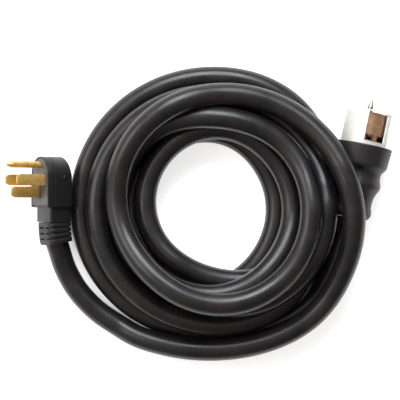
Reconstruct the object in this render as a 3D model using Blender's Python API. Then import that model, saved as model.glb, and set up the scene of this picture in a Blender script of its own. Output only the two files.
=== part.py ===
"""Shore power cord, 50 A, 125/250 V: a thick black cord in a flat coil, with a right-angle
four-prong plug on one end and a locking nose in a moulded handle on the other.

Frame: +Z up, +Y away from the viewer of the photograph's lower edge, origin on the floor under
the middle of the whole object. Everything is in metres.
"""

import math

import bmesh
import bpy
from mathutils import Matrix, Vector

# ---------------------------------------------------------------- driving dimensions
GAP = 0.0003                     # between pieces that touch
SEAT = 0.0002                    # lets the heaviest pieces stand on the floor plane itself

CORD_DIAMETER = 0.0235

COIL_CENTRE = (0.0173, 0.0)      # middle of the coil on the floor
COIL_OUTER_RADIUS = 0.1535
COIL_INNER_RADIUS = 0.055
COIL_HEIGHT = 0.090
COIL_SHOULDER = 0.026            # rounding of the coil's outer top edge
COIL_LIP = 0.031                 # rounding of its inner top edge

PLUG_FACE_STANDOFF = 0.0308      # the face's middle is this far outside the coil
PLUG_FACE_CENTRE_Y = 0.03195
PLUG_TILT = math.radians(31.5)   # the prongs point this far above the horizon
PLUG_WIDTH = 0.042
PLUG_HEIGHT = 0.0535
PLUG_DEPTH = 0.029
PLUG_EDGE = 0.0025                # rounding of the body's long edges
PLUG_WALL = 0.0035
FACE_RIM = 0.0014
FACE_THICKNESS = 0.0050
CARRIER_THICKNESS = 0.0055

NECK_WIDTH = 0.0345
NECK_SETBACK = 0.0045            # front of the neck behind the face
NECK_LENGTH = 0.01525
RELIEF_WIDTH = 0.0330
RELIEF_DEPTH = 0.0265
RELIEF_LENGTH = 0.0217
RELIEF_BACK = 0.0175             # its axis behind the face
RELIEF_TURN = math.radians(10.5)  # how far it bends with the cord
RELIEF_RIBS = 4
RELIEF_GROOVE = 0.0016
WIRE_WAY = 0.0166                # bore for the four conductors

HOT_SPACING = 0.0286
HOT_OFFSET = 0.0021              # the hot blades above the middle of the face
GROUND_ABOVE_HOT = 0.0159
NEUTRAL_BELOW_HOT = 0.0127
BLADE_WIDTH = 0.0117
BLADE_THICKNESS = 0.0024
BLADE_LENGTH = 0.0325
BLADE_CHAMFER = 0.0040
GROUND_DIAMETER = 0.0070
GROUND_LENGTH = 0.0375
PRONG_ROOT = 0.0125              # length of a prong behind the face
CRIMP_DIAMETER = 0.0080
CRIMP_LENGTH = 0.0085
CRIMP_WALL = 0.0012
CRIMP_SHIFT = 0.0020             # its middle, below the prong's
CRIMP_CLEARANCE = 0.0007         # between a hot crimp and the chamber's wall
WIRE_DIAMETER = 0.0060
GROUND_WIRE_DIAMETER = 0.0046
# Each conductor's place in the cord, from its middle.
WIRE_LANES = {
    "black": (0.0034, -0.0032),
    "red": (-0.0034, -0.0032),
    "white": (-0.0031, 0.0034),
    "green": (0.0034, 0.0034),
}
# Its bends inside the plug, between the crimp and the neck.
PLUG_WIRE_BENDS = {
    "black": ((0.0118, -0.0085, -0.0195), (0.0080, -0.0140, -0.0212), (0.0040, -0.0205, -0.0208)),
    "red": ((-0.0118, -0.0085, -0.0195), (-0.0080, -0.0140, -0.0212), (-0.0040, -0.0205, -0.0208)),
    "white": ((-0.0020, -0.0205, -0.0144),),
    "green": ((0.0059, 0.0020, -0.0160), (0.0070, -0.0085, -0.0140), (0.0066, -0.0150, -0.0138),
              (0.0042, -0.0205, -0.0139)),
}

LOCK_FACE_STANDOFF = 0.01632     # middle of the rim, outside the coil
LOCK_FACE_BEARING = math.radians(24.604)  # seen from the coil's middle, from +X
LOCK_TURN = math.radians(11.5)   # the nose points this far right of +Y
LOCK_RADIUS = 0.0311             # at the rim
LOCK_RIM = 0.0022
LOCK_FACE_THICKNESS = 0.0080
LOCK_CORE_LENGTH = 0.0200
LOCK_CORE_RADIUS = 0.0215
LOCK_WALL = 0.0026
GLAND_START = 0.0636             # measured back from the rim
GLAND_END = 0.0767
GLAND_RADIUS = 0.0228
SHELL_RADIUS = 0.0239
SHELL_WALL = 0.0014
SHELL_LENGTH = 0.0365
SHELL_GROOVE = 0.0030
SHELL_RIM_BAND = 0.0012          # uncut ring at the shell's mouth
WINDOW_FROM = math.radians(-6.0)
WINDOW_TO = math.radians(52.0)
WINDOW_FOOT = 0.0040
LOCK_BLADE_RADIUS = 0.0195
LOCK_BLADE_THICKNESS = 0.0020
LOCK_BLADE_LENGTH = 0.0342
LOCK_BLADE_ARC = math.radians(62.0)
LOCK_BLADE_ROOT = 0.0100
LOCK_BLADE_ANGLES = {"x": math.radians(26.0), "y": math.radians(146.0), "w": math.radians(266.0)}
NOTCH_HEIGHT = 0.0060
NOTCH_FOOT = 0.0050
NOTCH_ARC = math.radians(25.0)
PIN_RADIUS = 0.0034
PIN_LENGTH = 0.0505
PIN_POINT = 0.0105
PIN_ROOT = 0.0050
SCREW_PLACE = 0.0257             # screw pockets behind the rim
SCREW_HEAD_RADIUS = 0.0027
SCREW_SHANK_RADIUS = 0.0015
SCREW_POCKET_FLOOR = 0.0224
SCREW_HEAD_HEIGHT = 0.0018

# Middle of the free stretch of cord from the plug to the coil, chosen by eye.
TAIL_POINTS = (
    (-0.1468, -0.0420, 0.0196),
    (-0.1441, -0.0526, 0.0168),
    (-0.1384, -0.0665, 0.0138),
    (-0.1300, -0.0809, 0.0124),
    (-0.1189, -0.0942, 0.0122),
    (-0.1051, -0.1069, 0.0127),
    (-0.0880, -0.1184, 0.0147),
)

BLACK_PVC = (0.030, 0.030, 0.032)
DARK_GREY = (0.120, 0.120, 0.115)
BRASS = (0.600, 0.420, 0.160)
BRONZE = (0.420, 0.270, 0.160)
NICKEL = (0.800, 0.800, 0.780)
COPPER = (0.720, 0.380, 0.220)
NYLON = (0.620, 0.600, 0.550)
WIRE_COLOURS = {
    "black": (0.020, 0.020, 0.020),
    "red": (0.500, 0.030, 0.030),
    "white": (0.800, 0.800, 0.780),
    "green": (0.030, 0.300, 0.080),
}


# ---------------------------------------------------------------- scene and materials
def clear_scene():
    for thing in list(bpy.data.objects):
        bpy.data.objects.remove(thing, do_unlink=True)


def finish(name, colour, roughness, metallic=0.0):
    """A plain surface finish, made once and shared by name."""
    found = bpy.data.materials.get(name)
    if found:
        return found
    made = bpy.data.materials.new(name)
    made.use_nodes = True
    shader = made.node_tree.nodes["Principled BSDF"]
    shader.inputs["Base Color"].default_value = (*colour, 1.0)
    shader.inputs["Roughness"].default_value = roughness
    shader.inputs["Metallic"].default_value = metallic
    return made


def place(thing, parent, look):
    bpy.context.scene.collection.objects.link(thing)
    thing.parent = parent
    if look:
        thing.data.materials.append(look)
    return thing


# ---------------------------------------------------------------- outlines and solids
def circle(radius, z, sides=32, x=0.0, y=0.0):
    turns = (2 * math.pi * i / sides for i in range(sides))
    return [Vector((x + radius * math.cos(t), y + radius * math.sin(t), z)) for t in turns]


def arched_outline(inset, z, arc_steps=16):
    """The plug's outline: square below, half round on top, as deep as it is given an inset."""
    half = PLUG_WIDTH / 2 - inset
    arc_centre = PLUG_HEIGHT / 2 - PLUG_WIDTH / 2
    foot = -PLUG_HEIGHT / 2 + inset
    points = [Vector((-half, foot, z)), Vector((half, foot, z))]
    for i in range(arc_steps + 1):
        turn = math.pi * i / arc_steps
        points.append(Vector((half * math.cos(turn), arc_centre + half * math.sin(turn), z)))
    return points


def rounded_rectangle(half_a, half_b, corner, steps=4):
    """(a, b) pairs around a rectangle with round corners."""
    pairs = []
    for quarter in range(4):
        turn = quarter * math.pi / 2
        sign_a = 1 if quarter in (0, 3) else -1
        sign_b = 1 if quarter in (0, 1) else -1
        for i in range(steps + 1):
            angle = turn + math.pi / 2 * i / steps
            a = sign_a * (half_a - corner) + corner * math.cos(angle)
            b = sign_b * (half_b - corner) + corner * math.sin(angle)
            pairs.append((a, b))
    return pairs


def arc_plate(radius, thickness, middle, width, z, steps=8):
    """The outline of a plate curved about the Z axis."""
    angles = [middle - width / 2 + width * i / steps for i in range(steps + 1)]
    outer = [(radius + thickness / 2, a) for a in angles]
    inner = [(radius - thickness / 2, a) for a in reversed(angles)]
    return [Vector((r * math.cos(a), r * math.sin(a), z)) for r, a in outer + inner]


def skin(name, sections, look, parent=None, loop=False, smooth=True):
    """A closed solid through outlines of equal length; a loop of them has no end caps."""
    shape = bmesh.new()
    rings = [[shape.verts.new(p) for p in section] for section in sections]
    pairs = list(zip(rings, rings[1:]))
    if loop:
        pairs.append((rings[-1], rings[0]))
    else:
        shape.faces.new(rings[0])
        shape.faces.new(rings[-1])
    for low, high in pairs:
        for i in range(len(low)):
            j = (i + 1) % len(low)
            shape.faces.new((low[i], low[j], high[j], high[i]))
    bmesh.ops.recalc_face_normals(shape, faces=shape.faces)
    mesh = bpy.data.meshes.new(name)
    shape.to_mesh(mesh)
    shape.free()
    if smooth:
        mesh.shade_smooth()
        mesh.set_sharp_from_angle(angle=math.radians(35))
    return place(bpy.data.objects.new(name, mesh), parent, look)


def turned(name, profile, look, parent=None, sides=48, loop=True):
    """A solid turned about Z from (radius, z) points; a loop leaves a bore through it."""
    return skin(name, [circle(r, z, sides) for r, z in profile], look, parent, loop)


def tube(name, points, diameter, look, parent=None, resolution=2):
    path = bpy.data.curves.new(name, "CURVE")
    path.dimensions = "3D"
    path.bevel_depth = diameter / 2
    path.bevel_resolution = resolution
    path.use_fill_caps = True
    spline = path.splines.new("POLY")
    spline.points.add(len(points) - 1)
    for spot, point in zip(spline.points, points):
        spot.co = (*point, 1.0)
    return place(bpy.data.objects.new(name, path), parent, look)


def swept(name, route, diameter, parent=None, sides=20):
    """A closed mesh along a route, for use as a cutter where a curve can't be one."""
    sections = []
    for i, point in enumerate(route):
        heading = (Vector(route[min(i + 1, len(route) - 1)]) - Vector(route[max(i - 1, 0)])).normalized()
        across = heading.cross(Vector((0, 0, 1))).normalized()
        above = across.cross(heading)
        sections.append([Vector(point) + across * p.x + above * p.y for p in circle(diameter / 2, 0, sides)])
    return skin(name, sections, None, parent)


def smooth_route(points, spacing):
    """Points at about this spacing on one smooth curve through the given ones."""
    knots = [Vector(p) for p in points]
    knots = [2 * knots[0] - knots[1]] + knots + [2 * knots[-1] - knots[-2]]
    route = []
    for a, b, c, d in zip(knots, knots[1:], knots[2:], knots[3:]):
        steps = max(1, round((c - b).length / spacing))
        for i in range(steps):
            t = i / steps
            route.append(0.5 * (2 * b + (c - a) * t + (2 * a - 5 * b + 4 * c - d) * t ** 2
                                + (3 * b - a - 3 * c + d) * t ** 3))
    return route + [knots[-2]]


def combine(target, other, operation):
    change = target.modifiers.new(other.name, "BOOLEAN")
    change.operation = operation
    change.object = other
    other.hide_render = True
    other.display_type = "WIRE"
    return target


def cut(target, *cutters):
    for cutter in cutters:
        combine(target, cutter, "DIFFERENCE")


def frame_empty(name, origin, x_axis, z_axis):
    empty = bpy.data.objects.new(name, None)
    bpy.context.scene.collection.objects.link(empty)
    y_axis = z_axis.cross(x_axis)
    empty.matrix_world = Matrix.Translation(origin) @ Matrix((x_axis, y_axis, z_axis)).transposed().to_4x4()
    return empty


# ---------------------------------------------------------------- right-angle plug
def plug_origin():
    """Middle of the face, as high as the tilted body needs to stand on its lower edge."""
    half = PLUG_WIDTH / 2 - PLUG_EDGE
    depth = PLUG_DEPTH - PLUG_EDGE
    rise = PLUG_EDGE + half * math.cos(PLUG_TILT) + depth * math.sin(PLUG_TILT)
    middle_x = COIL_CENTRE[0] - COIL_OUTER_RADIUS - PLUG_FACE_STANDOFF
    return Vector((middle_x, PLUG_FACE_CENTRE_Y, rise + SEAT))


def plug_empty():
    """+X up along the face, +Y towards the ground pin, +Z the way the prongs point."""
    up = Vector((math.sin(PLUG_TILT), 0, math.cos(PLUG_TILT)))
    out = Vector((-math.cos(PLUG_TILT), 0, math.sin(PLUG_TILT)))
    return frame_empty("plug_frame", plug_origin(), up, out)


def neck_outlines(grow=0.0):
    """The neck's block, from inside the body down to the strain relief."""
    half = NECK_WIDTH / 2 + grow
    depth = (PLUG_DEPTH - NECK_SETBACK) / 2
    ends = (-PLUG_HEIGHT / 2 + 0.006, -PLUG_HEIGHT / 2 - NECK_LENGTH - grow)
    return [[Vector((a, y, b - NECK_SETBACK - depth)) for a, b in rounded_rectangle(half, depth + grow, PLUG_EDGE)]
            for y in ends]


def relief_path(t):
    """Middle and heading of the strain relief, from the neck (0) to the cord (1), in plug terms."""
    sideways = Vector((math.sin(PLUG_TILT), 0, -math.cos(PLUG_TILT)))
    downwards = Vector((-math.cos(PLUG_TILT), 0, -math.sin(PLUG_TILT)))
    lean = (sideways + 0.45 * downwards).normalized()
    start = Vector((0, -PLUG_HEIGHT / 2 - NECK_LENGTH - GAP, -RELIEF_BACK))
    turn = RELIEF_TURN * t
    heading = Vector((0, -1, 0)) * math.cos(turn) + lean * math.sin(turn)
    middle = start + Vector((0, -1, 0)) * RELIEF_LENGTH * t + lean * RELIEF_LENGTH * RELIEF_TURN * t * t / 2
    return middle, heading


def relief_section(t, half_x, half_z, corner):
    middle, heading = relief_path(t)
    across = Vector((1, 0, 0))
    depth = heading.cross(across).normalized()
    across = depth.cross(heading).normalized()
    return [middle + across * a + depth * b for a, b in rounded_rectangle(half_x, half_z, corner)]


def plug_prongs(parent, brass, copper):
    """Three blades and a round pin, each with a crimp barrel behind the carrier."""
    blades = {
        "hot_blade_upper": (HOT_SPACING / 2, HOT_OFFSET),
        "hot_blade_lower": (-HOT_SPACING / 2, HOT_OFFSET),
        "neutral_blade": (0.0, HOT_OFFSET - NEUTRAL_BELOW_HOT),
    }
    for name, (x, y) in blades.items():
        half = BLADE_WIDTH / 2
        thick = BLADE_THICKNESS / 2
        tip = half - BLADE_CHAMFER * 0.55
        levels = ((-PRONG_ROOT, half, thick), (BLADE_LENGTH - BLADE_CHAMFER, half, thick),
                  (BLADE_LENGTH - 0.0007, tip + 0.0004, thick * 0.8), (BLADE_LENGTH, tip, thick * 0.5))
        sections = [[Vector((x + a, y + b, z)) for a, b in ((-t, -w), (t, -w), (t, w), (-t, w))]
                    for z, w, t in levels]
        skin(name, sections, brass, parent, smooth=False)
    ground = (0.0, HOT_OFFSET + GROUND_ABOVE_HOT)
    radius = GROUND_DIAMETER / 2
    levels = ((-PRONG_ROOT, radius), (GROUND_LENGTH - 0.0055, radius), (GROUND_LENGTH - 0.0012, radius * 0.6),
              (GROUND_LENGTH, radius * 0.35))
    skin("ground_pin", [circle(r, z, 24, *ground) for z, r in levels], brass, parent)
    crimps = {
        "hot_crimp_upper": blades["hot_blade_upper"],
        "hot_crimp_lower": blades["hot_blade_lower"],
        "neutral_crimp": blades["neutral_blade"],
        "ground_crimp": ground,
    }
    depth = -PRONG_ROOT - GAP - CRIMP_DIAMETER / 2
    barrels = {}
    for name, (x, y) in crimps.items():
        outer = CRIMP_DIAMETER / 2
        rings = [(outer - CRIMP_WALL, 0.5), (outer, 0.5), (outer, -0.5), (outer - CRIMP_WALL, -0.5)]
        middle = y - CRIMP_SHIFT
        x = math.copysign(PLUG_WIDTH / 2 - PLUG_WALL - CRIMP_CLEARANCE - outer, x) if x else 0.0
        sections = [[Vector((x + p.x, middle + side * CRIMP_LENGTH, depth + p.y)) for p in circle(r, 0, 24)]
                    for r, side in rings]
        skin(name, sections, copper, parent, loop=True)
        barrels[name] = Vector((x, middle - CRIMP_LENGTH / 2 - GAP, depth))
    return blades, ground, barrels


def prong_holes(parent, blades, ground, low, high):
    """Cutters a working clearance larger than the prongs."""
    holes = []
    for name, (x, y) in blades.items():
        t = BLADE_THICKNESS / 2 + GAP
        w = BLADE_WIDTH / 2 + GAP
        corners = ((-t, -w), (t, -w), (t, w), (-t, w))
        sections = [[Vector((x + a, y + b, z)) for a, b in corners] for z in (low, high)]
        holes.append(skin(f"{name}_hole_{high:.3f}", sections, None, parent))
    pin = [circle(GROUND_DIAMETER / 2 + GAP, z, 24, *ground) for z in (low, high)]
    holes.append(skin(f"ground_hole_{high:.3f}", pin, None, parent))
    return holes


def plug_wires(parent, barrels):
    """Four conductors from the crimps into the strain relief's bore."""
    neck_top = -PLUG_HEIGHT / 2
    starts = {"black": "hot_crimp_upper", "red": "hot_crimp_lower", "white": "neutral_crimp", "green": "ground_crimp"}
    for colour, barrel in starts.items():
        diameter = GROUND_WIRE_DIAMETER if colour == "green" else WIRE_DIAMETER
        start = barrels[barrel]
        across, back = WIRE_LANES[colour]
        points = [start, start + Vector((0, -0.0015, 0)), *PLUG_WIRE_BENDS[colour]]
        points.append((across, neck_top - 0.003, back - RELIEF_BACK))
        for t in (0.0, 0.5, 0.97):
            middle, heading = relief_path(t)
            points.append(middle + Vector((across, 0, back)))
        look = finish(f"insulation_{colour}", WIRE_COLOURS[colour], 0.5)
        tube(f"plug_wire_{colour}", smooth_route(points, diameter * 0.8), diameter, look, parent)


def make_plug():
    parent = plug_empty()
    black = finish("black_pvc", BLACK_PVC, 0.42)
    brass = finish("brass", BRASS, 0.30, 1.0)
    copper = finish("tinned_copper", COPPER, 0.35, 1.0)

    front, back = 0.0, -PLUG_DEPTH
    sections = [arched_outline(0.0006, front), arched_outline(0.0, front - 0.0006)]
    for i in range(5):
        turn = math.pi / 2 * i / 4
        sections.append(arched_outline(PLUG_EDGE * (1 - math.cos(turn)),
                                       back + PLUG_EDGE * (1 - math.sin(turn))))
    body = skin("plug_body", sections, black, parent)

    combine(body, skin("neck_block", neck_outlines(), black, parent), "UNION")

    seat = -FACE_THICKNESS - GAP
    cut(body,
        skin("face_recess", [arched_outline(FACE_RIM, 0.001), arched_outline(FACE_RIM, seat)], None, parent),
        skin("wire_chamber", [arched_outline(PLUG_WALL, seat + 0.001),
                              arched_outline(PLUG_WALL, -PLUG_DEPTH + PLUG_WALL)], None, parent))
    way = [[Vector((p.x, y, p.y - RELIEF_BACK)) for p in circle(WIRE_WAY / 2, 0, 32)]
           for y in (-PLUG_HEIGHT / 2 + PLUG_WALL + 0.001, -PLUG_HEIGHT / 2 - NECK_LENGTH - 0.001)]
    cut(body, skin("neck_bore", way, None, parent))

    blades, ground, barrels = plug_prongs(parent, brass, copper)
    face = skin("plug_face", [arched_outline(FACE_RIM + GAP, 0.0), arched_outline(FACE_RIM + GAP, -FACE_THICKNESS)],
                finish("grey_insert", DARK_GREY, 0.5), parent)
    cut(face, *prong_holes(parent, blades, ground, -FACE_THICKNESS - 0.001, 0.001))
    top = seat - GAP
    carrier = skin("blade_carrier", [arched_outline(PLUG_WALL + GAP, top),
                                     arched_outline(PLUG_WALL + GAP, top - CARRIER_THICKNESS)],
                   finish("nylon", NYLON, 0.5), parent)
    cut(carrier, *prong_holes(parent, blades, ground, top - CARRIER_THICKNESS - 0.001, top + 0.001))

    outline = []
    ribs = RELIEF_RIBS
    for rib in range(ribs):
        start = rib / ribs
        for share, depth_in in ((0.0, 0.25), (0.08, 0.0), (0.52, 0.0), (0.62, 1.0), (0.90, 1.0)):
            last = rib == ribs - 1 and share > 0.55
            outline.append((start + share / ribs, 0.0 if last else depth_in))
    outline.append((1.0, 0.3))
    rings = [relief_section(t, RELIEF_WIDTH / 2 - g * RELIEF_GROOVE, RELIEF_DEPTH / 2 - g * RELIEF_GROOVE, 0.007)
             for t, g in outline]
    relief = skin("plug_strain_relief", rings, finish("soft_pvc", BLACK_PVC, 0.55), parent)
    bore = [relief_section(t, WIRE_WAY / 2, WIRE_WAY / 2, WIRE_WAY / 2 - 0.00001) for t in (-0.06, 0.5, 1.06)]
    cut(relief, skin("relief_bore", bore, None, parent))

    plug_wires(parent, barrels)
    return parent


# ---------------------------------------------------------------- locking end
def lock_origin():
    reach = COIL_OUTER_RADIUS + LOCK_FACE_STANDOFF
    middle_x = COIL_CENTRE[0] + reach * math.cos(LOCK_FACE_BEARING)
    middle_y = COIL_CENTRE[1] + reach * math.sin(LOCK_FACE_BEARING)
    return Vector((middle_x, middle_y, LOCK_RADIUS + SEAT))


def lock_empty():
    """+X straight up, +Z out along the nose, so that the camera looks down -X."""
    out = Vector((math.sin(LOCK_TURN), math.cos(LOCK_TURN), 0))
    return frame_empty("lock_frame", lock_origin(), Vector((0, 0, 1)), out)


def handle_profile(grow=0.0):
    """(radius, z) of the handle's outside, from the rim back to the gland."""
    points = ((LOCK_RADIUS - 0.0012, 0.0), (LOCK_RADIUS, -0.0014), (0.0295, -0.0205), (0.0285, -0.0222),
              (0.0248, -0.0274), (0.0246, -0.0300), (0.0252, -0.0350), (0.0266, -0.0405), (0.0262, -0.0435),
              (0.0242, -0.0475), (0.0226, -0.0515), (0.0216, -0.0560), (0.0214, -GLAND_START))
    return [(r + grow, z) for r, z in points]


def gland_profile(grow=0.0):
    points = ((0.0214, -GLAND_START - GAP), (0.0221, -0.0662), (GLAND_RADIUS, -0.0700),
              (0.0222, -0.0733), (0.0206, -0.0755), (0.0196, -GLAND_END))
    return [(r + grow, z) for r, z in points]


def radial_bore(radius, place_z, inner, outer, side):
    """Outlines of a round cutter lying along +X or -X, between two distances from the axis."""
    return [[Vector((side * reach, p.x, place_z + p.y)) for p in circle(radius, 0, 20)]
            for reach in (inner, outer)]


def lock_slots(parent, low, high):
    """Cutters for the three blades and for the shell's earthing tab."""
    slots = []
    for key, angle in LOCK_BLADE_ANGLES.items():
        clear = 2 * GAP / LOCK_BLADE_RADIUS
        sections = [arc_plate(LOCK_BLADE_RADIUS, LOCK_BLADE_THICKNESS + 2 * GAP, angle,
                              LOCK_BLADE_ARC + clear, z) for z in (low, high)]
        slots.append(skin(f"slot_{key}_{high:.3f}", sections, None, parent))
    return slots


def make_lock():
    parent = lock_empty()
    black = finish("black_pvc", BLACK_PVC, 0.42)
    nickel = finish("nickel_plate", NICKEL, 0.18, 1.0)
    bronze = finish("bronze", BRONZE, 0.30, 1.0)
    copper = finish("tinned_copper", COPPER, 0.35, 1.0)

    # Outside profile down the handle, then the inside back up to the face's seat.
    face_seat = -LOCK_FACE_THICKNESS - GAP
    core_end = face_seat - GAP - LOCK_CORE_LENGTH
    face_radius = LOCK_RADIUS - LOCK_RIM
    inside = [(WIRE_WAY / 2 + 0.002, -GLAND_START), (WIRE_WAY / 2 + 0.002, -0.0560),
              (LOCK_CORE_RADIUS - 0.001, core_end - 0.010),
              (LOCK_CORE_RADIUS - 0.001, core_end - GAP), (LOCK_CORE_RADIUS + GAP, core_end - GAP),
              (LOCK_CORE_RADIUS + GAP, face_seat), (face_radius + GAP, face_seat), (face_radius + GAP, 0.0)]
    housing = turned("lock_housing", handle_profile() + inside, black, parent)

    face = turned("lock_face", [(face_radius, -LOCK_FACE_THICKNESS), (face_radius, -0.0003)],
                  finish("grey_insert", DARK_GREY, 0.5), parent, loop=False)
    groove = SHELL_RADIUS - SHELL_WALL
    ring = turned("shell_groove", [(groove - GAP, 0.001), (SHELL_RADIUS + GAP, 0.001),
                                   (SHELL_RADIUS + GAP, -SHELL_GROOVE - GAP), (groove - GAP, -SHELL_GROOVE - GAP)],
                  None, parent)
    socket = skin("pin_socket", [circle(PIN_RADIUS + GAP, z, 24) for z in (0.001, -PIN_ROOT - GAP)], None, parent)
    cut(face, ring, socket, *lock_slots(parent, -LOCK_FACE_THICKNESS - 0.001, 0.001))

    core_top = face_seat - GAP
    core = skin("lock_core", [circle(LOCK_CORE_RADIUS, core_top, 48), circle(LOCK_CORE_RADIUS, core_end, 48)],
                finish("nylon", NYLON, 0.5), parent)
    blade_tail = -LOCK_BLADE_ROOT
    cut(core, *lock_slots(parent, blade_tail - GAP, core_top + 0.001))

    # Each crimp lies in a pocket of the core, behind its blade's tail; the fourth is the shell's.
    crimp_radius = CRIMP_DIAMETER / 2
    orbit = LOCK_CORE_RADIUS - crimp_radius - 0.0025
    crimp_top = blade_tail - 2 * GAP - 0.002
    spots = {f"blade_crimp_{key}": angle for key, angle in LOCK_BLADE_ANGLES.items()}
    barrels = {}
    for name, angle in spots.items():
        x, y = orbit * math.cos(angle), orbit * math.sin(angle)
        barrels[name] = (x, y)
    barrels["shell_crimp"] = (0.0, 0.0)
    for name, (x, y) in barrels.items():
        low = crimp_top - CRIMP_LENGTH
        rings = [circle(crimp_radius - CRIMP_WALL, crimp_top, 24, x, y), circle(crimp_radius, crimp_top, 24, x, y),
                 circle(crimp_radius, low, 24, x, y), circle(crimp_radius - CRIMP_WALL, low, 24, x, y)]
        skin(name, rings, copper, parent, loop=True)
        pocket = [circle(crimp_radius + GAP, z, 24, x, y) for z in (crimp_top + GAP, core_end - 0.001)]
        cut(core, skin(f"{name}_pocket", pocket, None, parent))

    shell_mouth = SHELL_LENGTH
    inner = SHELL_RADIUS - SHELL_WALL
    shell = turned("ground_shell", [(SHELL_RADIUS, -SHELL_GROOVE), (SHELL_RADIUS, shell_mouth - 0.0006),
                                    (SHELL_RADIUS - 0.0005, shell_mouth), (inner + 0.0003, shell_mouth),
                                    (inner, shell_mouth - 0.0004), (inner, -SHELL_GROOVE)], nickel, parent, sides=64)
    middle = (WINDOW_FROM + WINDOW_TO) / 2
    window = [arc_plate(SHELL_RADIUS - SHELL_WALL / 2, SHELL_WALL + 0.002, middle, WINDOW_TO - WINDOW_FROM, z)
              for z in (WINDOW_FOOT, shell_mouth - SHELL_RIM_BAND)]
    cut(shell, skin("shell_window", window, None, parent))

    for key, angle in LOCK_BLADE_ANGLES.items():
        plate = [arc_plate(LOCK_BLADE_RADIUS, LOCK_BLADE_THICKNESS, angle, LOCK_BLADE_ARC, z)
                 for z in (blade_tail, LOCK_BLADE_LENGTH)]
        blade = skin(f"lock_blade_{key}", plate, bronze, parent)
        for side in (-1, 1):
            edge = angle + side * LOCK_BLADE_ARC / 2
            notch = [arc_plate(LOCK_BLADE_RADIUS, LOCK_BLADE_THICKNESS * 2, edge, NOTCH_ARC * 2, z, 4)
                     for z in (NOTCH_FOOT, NOTCH_FOOT + NOTCH_HEIGHT)]
            cut(blade, skin(f"notch_{key}_{side + 1}", notch, None, parent))

    pin = [(PIN_RADIUS, -PIN_ROOT), (PIN_RADIUS, PIN_LENGTH - PIN_POINT),
           (PIN_RADIUS * 0.75, PIN_LENGTH - PIN_POINT * 0.8), (0.0003, PIN_LENGTH)]
    turned("centre_pin", pin, nickel, parent, sides=24, loop=False)

    for name, side in (("lock_screw_upper", 1), ("lock_screw_lower", -1)):
        floor = SCREW_POCKET_FLOOR
        shank = SCREW_SHANK_RADIUS
        levels = ((LOCK_CORE_RADIUS - 0.004, shank), (floor + GAP, shank), (floor + GAP, SCREW_HEAD_RADIUS),
                  (floor + GAP + SCREW_HEAD_HEIGHT, SCREW_HEAD_RADIUS))
        sections = [[Vector((side * reach, p.x, p.y - SCREW_PLACE)) for p in circle(r, 0, 20)] for reach, r in levels]
        skin(name, sections, nickel, parent)
        pocket = radial_bore(SCREW_HEAD_RADIUS + 2 * GAP, -SCREW_PLACE, floor, LOCK_RADIUS, side)
        hole = radial_bore(shank + GAP, -SCREW_PLACE, LOCK_CORE_RADIUS - 0.0045, floor + 0.001, side)
        cut(housing, skin(f"{name}_pocket", pocket, None, parent), skin(f"{name}_hole", hole, None, parent))
        combine(core, skin(f"{name}_thread", hole, None, parent), "DIFFERENCE")

    gland = gland_profile() + [(WIRE_WAY / 2, -GLAND_END), (WIRE_WAY / 2, -GLAND_START - GAP)]
    turned("lock_gland", gland, finish("soft_pvc", BLACK_PVC, 0.55), parent)

    ends = {"black": "blade_crimp_x", "red": "blade_crimp_y", "white": "blade_crimp_w", "green": "shell_crimp"}
    quarter = {"black": (1, 1), "red": (-1, 1), "white": (-1, -1), "green": (1, -1)}
    for colour, barrel in ends.items():
        diameter = GROUND_WIRE_DIAMETER if colour == "green" else WIRE_DIAMETER
        x, y = barrels[barrel]
        across, back = WIRE_LANES["green"]
        lane = (quarter[colour][0] * across, quarter[colour][1] * back)
        low = crimp_top - CRIMP_LENGTH - GAP
        points = [(x, y, low), (x, y, core_end), ((x + lane[0]) / 2, (y + lane[1]) / 2, core_end - 0.009),
                  (*lane, core_end - 0.020), (*lane, -GLAND_START), (*lane, -GLAND_END + 0.001)]
        look = finish(f"insulation_{colour}", WIRE_COLOURS[colour], 0.5)
        tube(f"lock_wire_{colour}", smooth_route(points, diameter * 0.8), diameter, look, parent)
    return parent


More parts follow.
